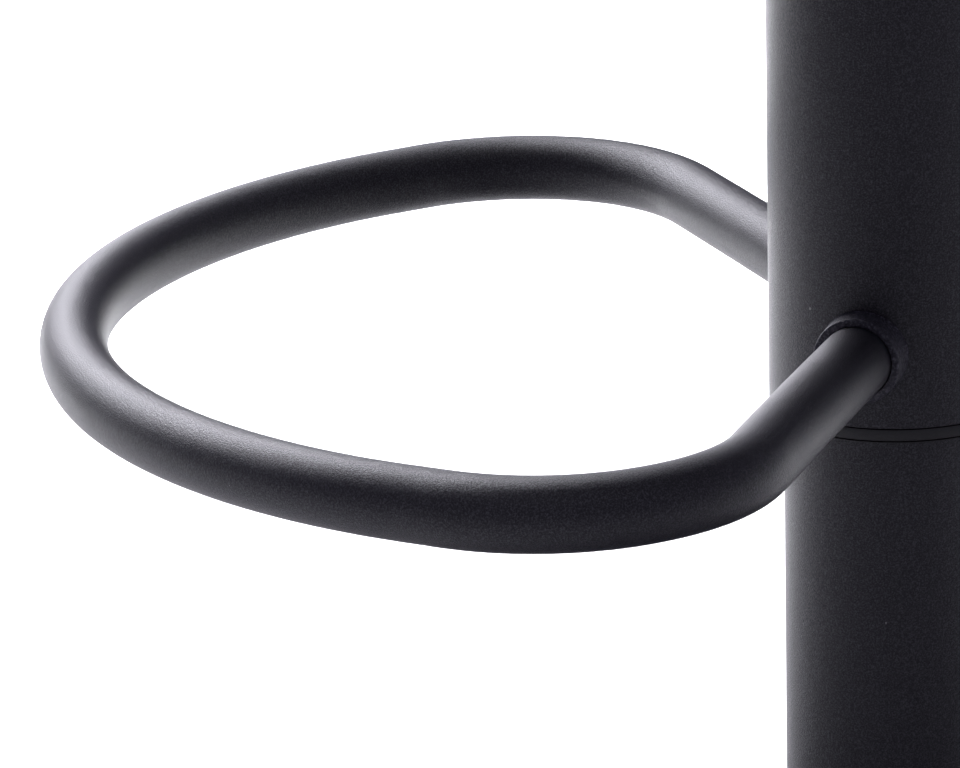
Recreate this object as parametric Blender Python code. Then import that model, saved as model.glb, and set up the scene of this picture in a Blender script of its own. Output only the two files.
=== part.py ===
"""Gas-lift bar stool with a looped footrest, built as its separate pieces.

Metres, +Z up. The origin is on the floor under the middle of the column, the
footrest reaches forward along -Y, and the sitter's right hand is towards -X.
The stool stands at its lowest height.
"""
import math

import bmesh
import bpy
from mathutils import Matrix, Vector

# ---- driving dimensions ----------------------------------------------------
GAP = 0.0003                 # left between pieces that touch

TRAVEL = 0.210               # how far the gas lift raises the seat
SEAT_WIDTH = 0.396
SEAT_DEPTH = 0.376
SEAT_CORNER = 0.088

FOOTREST_HEIGHT = 0.250      # middle of the footrest tube
FOOTREST_REACH = 0.220       # column axis to the middle of the tube, at the front
FOOTREST_RADIUS = 0.0095
FOOTREST_WALL = 0.0015
FRONT_BEND = 0.1725          # bend radius of the bowed front
FRONT_SWEEP = math.radians(59.65)    # each side of the middle
SIDE_STRAIGHT = 0.0107
CORNER_BEND = 0.0546
CORNER_SWEEP = math.radians(100.07)
COLLAR_RADIUS = 0.0117
COLLAR_FACE = 0.0395         # collar's outer face, from the column axis

SLEEVE_RADIUS = 0.034
SLEEVE_WALL = 0.0015
COLUMN_RADIUS = 0.030
COLUMN_WALL = 0.0015
RIM_BOTTOM = FOOTREST_HEIGHT - 0.0260    # underside of the guide ring's rim
SLEEVE_BOTTOM = FOOTREST_HEIGHT - 0.0225
GUIDE_HEIGHT = 0.023
COLUMN_TOP = 0.490

BASE_RADIUS = 0.225
BASE_NECK_HEIGHT = 0.086
BASE_SHEET = 0.0015
PLATE_BOTTOM = 0.0063
PLATE_THICKNESS = 0.006

LIFT_RADIUS = 0.025          # outer tube of the gas lift
LIFT_WALL = 0.0015
LIFT_BOTTOM = 0.022
LIFT_TOP = 0.425
CYLINDER_RADIUS = 0.014      # pressure cylinder
CYLINDER_WALL = 0.0018
CYLINDER_BOTTOM = 0.060
CYLINDER_TOP = 0.520
CYLINDER_TOP_RADIUS = 0.013
TAPER_LENGTH = 0.045
ROD_RADIUS = 0.005
ROD_END_RADIUS = 0.004
ROD_SHOULDER = 0.0342
PISTON_HEIGHT = 0.290

PAN_BOTTOM = 0.517
PAN_SHEET = 0.0025
PAN_TOP = 0.5475
PAN_WIDTH = 0.200
PAN_DEPTH = 0.160
SCREW_X = 0.080
SCREW_Y = 0.060
SCREW_RADIUS = 0.0027
BOARD_BOTTOM = 0.5491
BOARD_TOP = 0.5641
BOARD_INSET = 0.0055          # board's edge, in from the seat's
COVER_THICKNESS = 0.0012
CUSHION_TOP = 0.640

PIVOT = Vector((-0.0215, 0.0, 0.530))    # lever pivot
PIVOT_RADIUS = 0.003
LEVER_REACH = 0.192          # pivot to the tip of the knob
LEVER_DROP = math.radians(10)
LEVER_ROD_RADIUS = 0.004
BLOCK_WIDTH = 0.014
VALVE_RADIUS = 0.004
VALVE_TOP = 0.526

BASE_ROUND = 48              # sides on the base's turned pieces
LARGE_ROUND = 36             # on the column's
SMALL_ROUND = 20             # on the rod, washers and knob
FINE_ROUND = 12              # on screws and pins


# ---- modelling helpers -----------------------------------------------------
def clear_scene():
    for old in list(bpy.data.objects):
        bpy.data.objects.remove(old, do_unlink=True)


def finish(color, roughness, metallic=0.0):
    """What a piece's surface is like: colour, roughness, metallic."""
    return color, roughness, metallic


POWDER_COAT = finish((0.022, 0.022, 0.024), 0.55)
BLACK_NYLON = finish((0.015, 0.015, 0.016), 0.5)
BLACK_RUBBER = finish((0.018, 0.018, 0.018), 0.85)
BRIGHT_STEEL = finish((0.60, 0.60, 0.61), 0.3, 1.0)
ZINC_PLATED = finish((0.55, 0.56, 0.58), 0.38, 1.0)
GREY_IRON = finish((0.09, 0.09, 0.095), 0.6, 0.6)
PLYWOOD = finish((0.55, 0.38, 0.22), 0.65)
FAUX_LEATHER = finish((0.02, 0.02, 0.021), 0.45)
DUST_CLOTH = finish((0.025, 0.025, 0.025), 0.95)
FOAM = finish((0.75, 0.70, 0.50), 0.95)
WHITE_NYLON = finish((0.75, 0.74, 0.70), 0.45)


def add_piece(name, bm, look, parent=None, location=(0, 0, 0)):
    """Turn a bmesh into a named object with its own material."""
    bmesh.ops.remove_doubles(bm, verts=bm.verts, dist=1e-6)
    bmesh.ops.recalc_face_normals(bm, faces=bm.faces)
    mesh = bpy.data.meshes.new(name)
    bm.to_mesh(mesh)
    bm.free()
    mesh.shade_smooth()
    mesh.set_sharp_from_angle(angle=math.radians(35))
    piece = bpy.data.objects.new(name, mesh)
    bpy.context.scene.collection.objects.link(piece)
    piece.location = location
    piece.parent = parent
    color, roughness, metallic = look
    material = bpy.data.materials.new(name)
    material.use_nodes = True
    shader = material.node_tree.nodes["Principled BSDF"]
    shader.inputs["Base Color"].default_value = (*color, 1.0)
    shader.inputs["Roughness"].default_value = roughness
    shader.inputs["Metallic"].default_value = metallic
    mesh.materials.append(material)
    return piece


def add_axis(name, location, parent=None):
    """An empty on a joint's axis, which the moving pieces hang from."""
    axis = bpy.data.objects.new(name, None)
    bpy.context.scene.collection.objects.link(axis)
    axis.location = location
    axis.parent = parent
    return axis


def cut_away(piece, cutter_bm, name):
    """Subtract a hidden cutter from a piece."""
    cutter = add_piece(name, cutter_bm, BLACK_RUBBER, piece.parent, piece.location)
    cutter.hide_render = True
    cutter.display_type = "WIRE"
    boolean = piece.modifiers.new(name, "BOOLEAN")
    boolean.operation = "DIFFERENCE"
    boolean.solver = "EXACT"
    boolean.object = cutter


def turned(outline, steps, sweep=2 * math.pi, bm=None, center=(0, 0)):
    """Spin an (r, z) outline about the vertical line through center.

    An outline whose first and last points are on the axis gives a solid
    piece, any other is closed on itself and gives a ring.
    """
    bm = bm or bmesh.new()
    x, y = center
    verts = [bm.verts.new((x + r, y, z)) for r, z in outline]
    edges = [bm.edges.new(pair) for pair in zip(verts, verts[1:])]
    solid = outline[0][0] == 0 and outline[-1][0] == 0
    if not solid:
        edges.append(bm.edges.new((verts[-1], verts[0])))
    full = sweep > 2 * math.pi - 1e-6
    start = bm.faces.new(verts) if not full else None
    geometry = verts + edges + ([start] if start else [])
    bmesh.ops.spin(bm, geom=geometry, cent=(x, y, 0), axis=(0, 0, 1),
                   angle=sweep, steps=steps, use_merge=full and not solid,
                   use_duplicate=False)
    if solid:
        bmesh.ops.remove_doubles(bm, verts=bm.verts, dist=1e-6)
    return bm


def ring(inner, outer, low, high):
    """Outline of a plain ring."""
    return [(inner, low), (outer, low), (outer, high), (inner, high)]


def rounded_ring(inner, outer, low, high, edge):
    """Outline of a ring whose outer edges are broken."""
    return [(inner, low), (outer - edge, low), (outer, low + edge),
            (outer, high - edge), (outer - edge, high), (inner, high)]


def rounded_rectangle(width, depth, corner, per_corner=6):
    """Points round a rectangle with arcs at its corners, counter-clockwise."""
    points = []
    for quarter in range(4):
        side_x = 1 if quarter in (0, 3) else -1
        side_y = 1 if quarter in (0, 1) else -1
        middle_x = side_x * (width / 2 - corner)
        middle_y = side_y * (depth / 2 - corner)
        for step in range(per_corner):
            angle = math.pi / 2 * (quarter + (step + 0.5) / per_corner)
            points.append((middle_x + corner * math.cos(angle),
                           middle_y + corner * math.sin(angle)))
    return points


def circle(radius, per_corner=6):
    return rounded_rectangle(2 * radius, 2 * radius, radius, per_corner)


def lofted(levels, ring_shaped=False):
    """Join outlines at their heights; the ends are capped, or joined to each other."""
    bm = bmesh.new()
    loops = []
    for outline, z in levels:
        loops.append([bm.verts.new((x, y, z)) for x, y in outline])
    pairs = list(zip(loops, loops[1:]))
    if ring_shaped:
        pairs.append((loops[-1], loops[0]))
    for low, high in pairs:
        for i in range(len(low)):
            j = (i + 1) % len(low)
            bm.faces.new((low[i], low[j], high[j], high[i]))
    if not ring_shaped:
        bm.faces.new(loops[0])
        bm.faces.new(loops[-1])
    return bm


def box(low, high):
    """A block between two corners."""
    bm = bmesh.new()
    bmesh.ops.create_cube(bm, size=1.0)
    size = Vector(high) - Vector(low)
    middle = (Vector(high) + Vector(low)) / 2
    bmesh.ops.transform(bm, matrix=Matrix.Translation(middle) @ Matrix.Diagonal((*size, 1.0)),
                        verts=bm.verts)
    return bm


def round_bar(radius, length, direction, middle, steps=FINE_ROUND):
    """A plain round bar lying along a direction."""
    bm = bmesh.new()
    turn = Vector((0, 0, 1)).rotation_difference(Vector(direction)).to_matrix().to_4x4()
    bmesh.ops.create_cone(bm, cap_ends=True, segments=steps, radius1=radius, radius2=radius,
                          depth=length, matrix=Matrix.Translation(middle) @ turn)
    return bm


def pipe(path, radius, sides, wall=None):
    """Sweep a round section along a path that lies in one plane."""
    bm = bmesh.new()
    points = [Vector(p) for p in path]
    normal = (points[1] - points[0]).cross(points[-1] - points[0])
    normal = normal.normalized() if normal.length > 1e-9 else Vector((0, 1, 0))
    radii = [radius] if wall is None else [radius, radius - wall]
    skins = []
    for skin_radius in radii:
        rings = []
        for i, point in enumerate(points):
            ahead = points[min(i + 1, len(points) - 1)]
            behind = points[max(i - 1, 0)]
            along = (ahead - behind).normalized()
            side = along.cross(normal)
            rings.append([bm.verts.new(point + skin_radius * (
                side * math.cos(2 * math.pi * k / sides) + normal * math.sin(2 * math.pi * k / sides)))
                for k in range(sides)])
        skins.append(rings)
    for rings in skins:
        for here, after in zip(rings, rings[1:]):
            for k in range(sides):
                m = (k + 1) % sides
                bm.faces.new((here[k], here[m], after[m], after[k]))
    for end in (0, -1):
        if wall is None:
            bm.faces.new(skins[0][end])
            continue
        for k in range(sides):
            m = (k + 1) % sides
            bm.faces.new((skins[0][end][k], skins[0][end][m], skins[1][end][m], skins[1][end][k]))
    return bm


def screw_places():
    return [(SCREW_X, SCREW_Y), (-SCREW_X, SCREW_Y), (-SCREW_X, -SCREW_Y), (SCREW_X, -SCREW_Y)]


def bars_at_screws(radius, low, high):
    """Four upright bars on the seat screws' axes, for drilling."""
    bm = bmesh.new()
    for place in screw_places():
        turned([(0, low), (radius, low), (radius, high), (0, high)], FINE_ROUND, bm=bm, center=place)
    return bm


# ---- base ------------------------------------------------------------------
def base_flare(r):
    """Height of the spun cover's outside at radius r: shallow, then a trumpet neck."""
    edge_height = 0.0165
    neck_radius = COLUMN_RADIUS + GAP + BASE_SHEET
    edge_radius = BASE_RADIUS - 0.006
    share = (1 / r - 1 / edge_radius) / (1 / neck_radius - 1 / edge_radius)
    return edge_height + (BASE_NECK_HEIGHT - edge_height) * max(share, 0) ** 1.15


def make_base():
    floor_ring = ring(0.205, 0.2215, 0.0, PLATE_BOTTOM - GAP)
    add_piece("base_floor_ring", turned(floor_ring, BASE_ROUND), BLACK_RUBBER)

    plate_top = PLATE_BOTTOM + PLATE_THICKNESS
    add_piece("base_plate", turned(ring(0.020, 0.2215, PLATE_BOTTOM, plate_top), BASE_ROUND),
              GREY_IRON)

    neck_radius = COLUMN_RADIUS + GAP + BASE_SHEET
    edge_radius = BASE_RADIUS - 0.006
    steps = 9
    outside = [(BASE_RADIUS, 0.0025), (BASE_RADIUS, 0.0115), (BASE_RADIUS - 0.0018, 0.0147)]
    for i in range(steps + 1):
        r = edge_radius * (neck_radius / edge_radius) ** (i / steps)
        outside.append((r, base_flare(r)))
    inside = []
    for i in range(steps, -1, -1):
        r = edge_radius * (neck_radius / edge_radius) ** (i / steps)
        slope = (base_flare(r * 1.01) - base_flare(r * 0.99)) / (0.02 * r)
        tilt = math.atan(slope)
        inside.append((r + BASE_SHEET * math.sin(tilt), base_flare(r) - BASE_SHEET * math.cos(tilt)))
    inside[0] = (COLUMN_RADIUS + GAP, BASE_NECK_HEIGHT)
    inside += [(BASE_RADIUS - BASE_SHEET, 0.0130), (BASE_RADIUS - BASE_SHEET, 0.0025)]
    inside.insert(1, (COLUMN_RADIUS + GAP, BASE_NECK_HEIGHT - 0.010))
    add_piece("base_cover", turned(outside + inside, BASE_ROUND), POWDER_COAT)

    neck_ring = rounded_ring(COLUMN_RADIUS + GAP, COLUMN_RADIUS + 0.0045,
                             BASE_NECK_HEIGHT + GAP, BASE_NECK_HEIGHT + 0.006, 0.001)
    add_piece("base_neck_ring", turned(neck_ring, LARGE_ROUND), BLACK_NYLON)

    socket_outer = COLUMN_RADIUS - COLUMN_WALL - GAP
    socket_low = plate_top + GAP
    socket_top = 0.080
    socket = [(lift_outside(LIFT_BOTTOM) + GAP, socket_low), (socket_outer, socket_low),
              (socket_outer, socket_top), (lift_outside(socket_top) + GAP, socket_top),
              (lift_outside(LIFT_BOTTOM) + GAP, LIFT_BOTTOM)]
    add_piece("base_socket", turned(socket, LARGE_ROUND), GREY_IRON)

    column = ring(COLUMN_RADIUS - COLUMN_WALL, COLUMN_RADIUS, socket_low, COLUMN_TOP)
    add_piece("lower_column", turned(column, LARGE_ROUND), POWDER_COAT)

    bush_outer = SLEEVE_RADIUS - SLEEVE_WALL - GAP
    bush = [(COLUMN_RADIUS + GAP, COLUMN_TOP - 0.022), (bush_outer, COLUMN_TOP - 0.022),
            (bush_outer, COLUMN_TOP + 0.003), (COLUMN_RADIUS - COLUMN_WALL, COLUMN_TOP + 0.003),
            (COLUMN_RADIUS - COLUMN_WALL, COLUMN_TOP + GAP), (COLUMN_RADIUS + GAP, COLUMN_TOP + GAP)]
    add_piece("lower_column_bush", turned(bush, LARGE_ROUND), WHITE_NYLON)


# ---- gas lift --------------------------------------------------------------
def lift_outside(z):
    """Radius of the gas lift's outer tube, which narrows into its socket."""
    taper_top = 0.085
    share = min(max((taper_top - z) / (taper_top - LIFT_BOTTOM), 0), 1)
    return LIFT_RADIUS - 0.0009 * share


def make_lift_tube():
    inner = LIFT_RADIUS - LIFT_WALL
    tube = [(ROD_END_RADIUS + 0.0008, LIFT_BOTTOM), (lift_outside(LIFT_BOTTOM), LIFT_BOTTOM),
            (LIFT_RADIUS, 0.085), (LIFT_RADIUS, LIFT_TOP), (inner, LIFT_TOP), (inner, 0.085),
            (lift_outside(LIFT_BOTTOM) - LIFT_WALL, LIFT_BOTTOM + 0.003),
            (ROD_END_RADIUS + 0.0008, LIFT_BOTTOM + 0.003)]
    add_piece("lift_outer_tube", turned(tube, LARGE_ROUND), GREY_IRON)

    bore = CYLINDER_RADIUS + GAP
    bush = [(bore, LIFT_TOP - 0.080), (inner - GAP, LIFT_TOP - 0.080), (inner - GAP, LIFT_TOP + GAP),
            (LIFT_RADIUS, LIFT_TOP + GAP), (LIFT_RADIUS, LIFT_TOP + 0.0035), (bore, LIFT_TOP + 0.004)]
    add_piece("lift_guide_bush", turned(bush, LARGE_ROUND), BLACK_NYLON)

    washer_low = LIFT_BOTTOM + 0.003 + GAP
    washer = ring(ROD_END_RADIUS + GAP, 0.012, washer_low, washer_low + 0.002)
    add_piece("thrust_washer_lower", turned(washer, SMALL_ROUND), BRIGHT_STEEL)


def make_piston(axis):
    race_low = LIFT_BOTTOM + 0.005 + 2 * GAP
    race = ring(ROD_END_RADIUS + 0.001, 0.0115, race_low, race_low + 0.004)
    add_piece("thrust_bearing", turned(race, SMALL_ROUND), BRIGHT_STEEL, axis)
    washer = ring(ROD_END_RADIUS + GAP, 0.012, race_low + 0.004 + GAP, ROD_SHOULDER - GAP)
    add_piece("thrust_washer_upper", turned(washer, SMALL_ROUND), BRIGHT_STEEL, axis)

    clip_top = LIFT_BOTTOM - GAP
    groove_low = clip_top - 0.0021
    head_low = PISTON_HEIGHT
    rod = [(0, 0.0140), (0.0030, 0.0140), (ROD_END_RADIUS, 0.0150), (ROD_END_RADIUS, groove_low),
           (0.0032, groove_low), (0.0032, clip_top), (ROD_END_RADIUS, clip_top),
           (ROD_END_RADIUS, ROD_SHOULDER), (ROD_RADIUS, ROD_SHOULDER), (ROD_RADIUS, head_low),
           (0.0035, head_low), (0.0035, head_low + 0.014), (0, head_low + 0.014)]
    add_piece("piston_rod", turned(rod, SMALL_ROUND), BRIGHT_STEEL, axis)
    clip = ring(0.0035, 0.0085, groove_low + GAP, clip_top - GAP)
    add_piece("rod_clip", turned(clip, 18, math.radians(290)), ZINC_PLATED, axis)

    stop = rounded_ring(ROD_RADIUS + GAP, 0.0105, ROD_SHOULDER + GAP, CYLINDER_BOTTOM - GAP, 0.0015)
    add_piece("bump_stop", turned(stop, SMALL_ROUND), BLACK_RUBBER, axis)

    bore = CYLINDER_RADIUS - CYLINDER_WALL
    head_outer = bore - 0.0004
    groove = bore - 0.0026
    head = [(0.0038, head_low + GAP), (head_outer, head_low + GAP), (head_outer, head_low + 0.003),
            (groove, head_low + 0.003), (groove, head_low + 0.0065), (head_outer, head_low + 0.0065),
            (head_outer, head_low + 0.010), (0.0038, head_low + 0.010)]
    add_piece("piston_head", turned(head, SMALL_ROUND), BRIGHT_STEEL, axis)
    seal = ring(groove + GAP, bore - GAP, head_low + 0.003 + GAP, head_low + 0.0065 - GAP)
    add_piece("piston_seal", turned(seal, SMALL_ROUND), BLACK_RUBBER, axis)
    nut = [(x * 0.0065, y * 0.0065) for x, y in hexagon()]
    nut_low = head_low + 0.010 + GAP
    nut_bm = prism_with_bore(nut, 0.0038, nut_low, nut_low + 0.0035)
    add_piece("piston_nut", nut_bm, ZINC_PLATED, axis)


def hexagon():
    """Corners of a hexagon, one unit from its middle."""
    return [(math.cos(math.pi / 3 * k), math.sin(math.pi / 3 * k)) for k in range(6)]


def prism_with_bore(outline, bore, low, high):
    """An upright prism with a round hole; the hole has four points per corner."""
    dense = []
    for i, (x, y) in enumerate(outline):
        next_x, next_y = outline[(i + 1) % len(outline)]
        for k in range(4):
            dense.append((x + (next_x - x) * k / 4, y + (next_y - y) * k / 4))
    count = len(dense)
    round_hole = [(bore * math.cos(2 * math.pi * k / count), bore * math.sin(2 * math.pi * k / count))
                  for k in range(count)]
    return lofted([(round_hole, low), (dense, low), (dense, high), (round_hole, high)], True)


def make_cylinder(axis):
    bore = CYLINDER_RADIUS - CYLINDER_WALL
    taper_low = CYLINDER_TOP - TAPER_LENGTH
    closed_from = CYLINDER_TOP - 0.015
    valve_hole = VALVE_RADIUS + GAP
    cylinder = [(bore, CYLINDER_BOTTOM), (CYLINDER_RADIUS, CYLINDER_BOTTOM), (CYLINDER_RADIUS, taper_low),
                (CYLINDER_TOP_RADIUS, CYLINDER_TOP), (valve_hole, CYLINDER_TOP),
                (valve_hole, closed_from), (bore - 0.001, closed_from), (bore - 0.001, taper_low),
                (bore, taper_low - 0.004)]
    add_piece("pressure_cylinder", turned(cylinder, LARGE_ROUND), GREY_IRON, axis)
    gland = ring(ROD_RADIUS + GAP, bore - GAP, CYLINDER_BOTTOM + 0.002, CYLINDER_BOTTOM + 0.020)
    add_piece("cylinder_gland", turned(gland, SMALL_ROUND), BLACK_NYLON, axis)
    flange_top = closed_from - GAP
    valve = [(0, flange_top - 0.003), (0.006, flange_top - 0.003), (0.006, flange_top),
             (VALVE_RADIUS, flange_top), (VALVE_RADIUS, VALVE_TOP - 0.0012),
             (0.0030, VALVE_TOP - 0.0004), (0.0015, VALVE_TOP), (0, VALVE_TOP)]
    valve_axis = add_axis("valve_axis", (0, 0, 0), axis)
    add_piece("valve_pin", turned(valve, FINE_ROUND), BRIGHT_STEEL, valve_axis)


# ---- sleeve and footrest ---------------------------------------------------
def arc(start, heading, radius, sweep, steps):
    """Points along a bend that turns left for a positive sweep, and the heading after it."""
    side = 1 if sweep > 0 else -1
    middle = Vector(start) + radius * Vector((-side * math.sin(heading), side * math.cos(heading)))
    points = []
    for i in range(1, steps + 1):
        turn = heading + sweep * i / steps
        points.append(middle + radius * Vector((side * math.sin(turn), -side * math.cos(turn))))
    return points, heading + sweep


def footrest_path():
    """Middle line of the loop, from one end on the column axis round to the other."""
    half = [Vector((0, -FOOTREST_REACH))]
    points, heading = arc(half[0], 0.0, FRONT_BEND, FRONT_SWEEP, 8)
    half += points
    half.append(half[-1] + SIDE_STRAIGHT * Vector((math.cos(heading), math.sin(heading))))
    points, heading = arc(half[-1], heading, CORNER_BEND, CORNER_SWEEP, 9)
    half += points
    # the end runs straight at the column and stops inside the sleeve's skin,
    # where the sleeve's own shape then trims it
    along = Vector((math.cos(heading), math.sin(heading)))
    to_axis = half[-1].length
    half.append(half[-1] + along * (to_axis - SLEEVE_RADIUS + 0.006))
    whole = [Vector((-p.x, p.y)) for p in reversed(half[1:])] + half
    return [(p.x, p.y, FOOTREST_HEIGHT) for p in whole]


def make_sleeve(axis):
    sleeve_top = PAN_BOTTOM - GAP - 0.004
    sleeve = ring(SLEEVE_RADIUS - SLEEVE_WALL, SLEEVE_RADIUS, SLEEVE_BOTTOM, sleeve_top)
    add_piece("upper_sleeve", turned(sleeve, LARGE_ROUND), POWDER_COAT, axis)

    inner = SLEEVE_RADIUS - SLEEVE_WALL - GAP
    rim_top = SLEEVE_BOTTOM - GAP
    guide = [(COLUMN_RADIUS + GAP, RIM_BOTTOM), (SLEEVE_RADIUS - 0.0005, RIM_BOTTOM),
             (SLEEVE_RADIUS, RIM_BOTTOM + 0.0005), (SLEEVE_RADIUS, rim_top), (inner, rim_top),
             (inner, RIM_BOTTOM + GUIDE_HEIGHT), (COLUMN_RADIUS + GAP, RIM_BOTTOM + GUIDE_HEIGHT)]
    add_piece("sleeve_guide_ring", turned(guide, LARGE_ROUND), BLACK_NYLON, axis)

    hub_outer = 0.018 + GAP
    cap = [(hub_outer, sleeve_top - 0.012), (inner, sleeve_top - 0.012), (inner, sleeve_top + GAP),
           (SLEEVE_RADIUS + 0.001, sleeve_top + GAP), (SLEEVE_RADIUS + 0.001, PAN_BOTTOM - GAP),
           (hub_outer, PAN_BOTTOM - GAP)]
    cap_piece = add_piece("sleeve_top_cap", turned(cap, LARGE_ROUND), BLACK_NYLON, axis)
    holes = bmesh.new()
    for place in cap_screw_places():
        turned([(0, sleeve_top - 0.008), (0.0018, sleeve_top - 0.008), (0.0018, PAN_TOP),
                (0, PAN_TOP)], FINE_ROUND, bm=holes, center=place)
    cut_away(cap_piece, holes, "cutter_cap_screws")


def cap_screw_places():
    radius = 0.026
    return [(radius * math.cos(a), radius * math.sin(a)) for a in (0, 2 * math.pi / 3, -2 * math.pi / 3)]


def make_footrest(axis):
    path = footrest_path()
    tube = pipe(path, FOOTREST_RADIUS, 12, FOOTREST_WALL)
    loop = add_piece("footrest_loop", tube, POWDER_COAT, axis)
    skin = SLEEVE_RADIUS + GAP
    low, high = FOOTREST_HEIGHT - 0.02, FOOTREST_HEIGHT + 0.02
    sleeve_shape = turned([(0, low), (skin, low), (skin, high), (0, high)], LARGE_ROUND)
    cut_away(loop, sleeve_shape, "cutter_loop_ends")

    end = Vector(path[-1]) - Vector((0, 0, FOOTREST_HEIGHT))
    for side, name in ((1, "footrest_collar_left"), (-1, "footrest_collar_right")):
        out = Vector((side * end.x, end.y, 0)).normalized()
        inner, outer = FOOTREST_RADIUS + GAP, COLLAR_RADIUS
        edge = 0.0006
        face = COLLAR_FACE
        outline = [(inner, 0.026), (outer, 0.026), (outer, face - edge), (outer - edge, face),
                   (inner + 0.0003, face), (inner, face - 0.0004)]
        bm = turned(outline, SMALL_ROUND)
        turn = Vector((0, 0, 1)).rotation_difference(out).to_matrix().to_4x4()
        lift = Matrix.Translation((0, 0, FOOTREST_HEIGHT))
        bmesh.ops.transform(bm, matrix=lift @ turn, verts=bm.verts)
        collar = add_piece(name, bm, POWDER_COAT, axis)
        sleeve_shape = turned([(0, low), (skin, low), (skin, high), (0, high)], LARGE_ROUND)
        cut_away(collar, sleeve_shape, "cutter_" + name)


# ---- seat ------------------------------------------------------------------
def make_seat_pan(axis):
    wall = PAN_SHEET
    bottom = PAN_BOTTOM
    levels = [
        (rounded_rectangle(PAN_WIDTH, PAN_DEPTH, 0.018), PAN_TOP),
        (rounded_rectangle(0.116, 0.104, 0.016), PAN_TOP),
        (rounded_rectangle(0.104, 0.092, 0.012), bottom + wall),
        (circle(CYLINDER_TOP_RADIUS + 0.0006), bottom + wall),
        (circle(CYLINDER_TOP_RADIUS + 0.0006), bottom),
        (rounded_rectangle(0.107, 0.095, 0.013), bottom),
        (rounded_rectangle(0.120, 0.108, 0.018), PAN_TOP - wall),
        (rounded_rectangle(PAN_WIDTH, PAN_DEPTH, 0.018), PAN_TOP - wall),
    ]
    pan = add_piece("seat_pan", lofted(levels, True), POWDER_COAT, axis)
    holes = bars_at_screws(SCREW_RADIUS + 0.0007, PAN_TOP - 0.010, PAN_TOP + 0.010)
    for place in cap_screw_places():
        turned([(0, bottom - 0.005), (0.0023, bottom - 0.005), (0.0023, bottom + 0.008),
                (0, bottom + 0.008)], FINE_ROUND, bm=holes, center=place)
    cut_away(pan, holes, "cutter_pan_holes")
    slot = box((-0.075, -0.0062, PIVOT.z - 0.009), (-0.040, 0.0062, PIVOT.z + 0.0115))
    cut_away(pan, slot, "cutter_lever_slot")

    taper_low = CYLINDER_TOP - TAPER_LENGTH
    hub_top = PAN_BOTTOM - GAP
    slope = (CYLINDER_RADIUS - CYLINDER_TOP_RADIUS) / TAPER_LENGTH
    top_bore = CYLINDER_TOP_RADIUS + slope * (CYLINDER_TOP - hub_top) + GAP
    hub = [(CYLINDER_RADIUS + GAP, taper_low - 0.003), (0.0172, taper_low - 0.003),
           (0.018, taper_low - 0.002), (0.018, hub_top), (top_bore, hub_top),
           (CYLINDER_RADIUS + GAP, taper_low)]
    add_piece("seat_taper_hub", turned(hub, LARGE_ROUND), GREY_IRON, axis)

    head_low = PAN_BOTTOM + PAN_SHEET + GAP
    for number, place in enumerate(cap_screw_places(), 1):
        screw = [(0, PAN_BOTTOM - 0.009), (0.0014, PAN_BOTTOM - 0.009), (0.0014, head_low),
                 (0.0035, head_low), (0.0035, head_low + 0.0015), (0.0022, head_low + 0.0025),
                 (0, head_low + 0.0025)]
        bm = turned(screw, FINE_ROUND, center=place)
        add_piece(f"cap_screw_{number}", bm, ZINC_PLATED, axis)


def seat_outline(inset):
    """The seat's outline, drawn in by an inset."""
    return rounded_rectangle(SEAT_WIDTH - 2 * inset, SEAT_DEPTH - 2 * inset,
                             max(SEAT_CORNER - inset, 0.02))


def shrunk(side, thickness):
    """An (inset, z) side moved inwards by a thickness, square to its own slope."""
    moved = []
    for i, (inset, z) in enumerate(side):
        before = side[max(i - 1, 0)]
        after = side[min(i + 1, len(side) - 1)]
        along = Vector((after[0] - before[0], after[1] - before[1])).normalized()
        moved.append((inset + thickness * along.y, z - thickness * along.x))
    return moved


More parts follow.
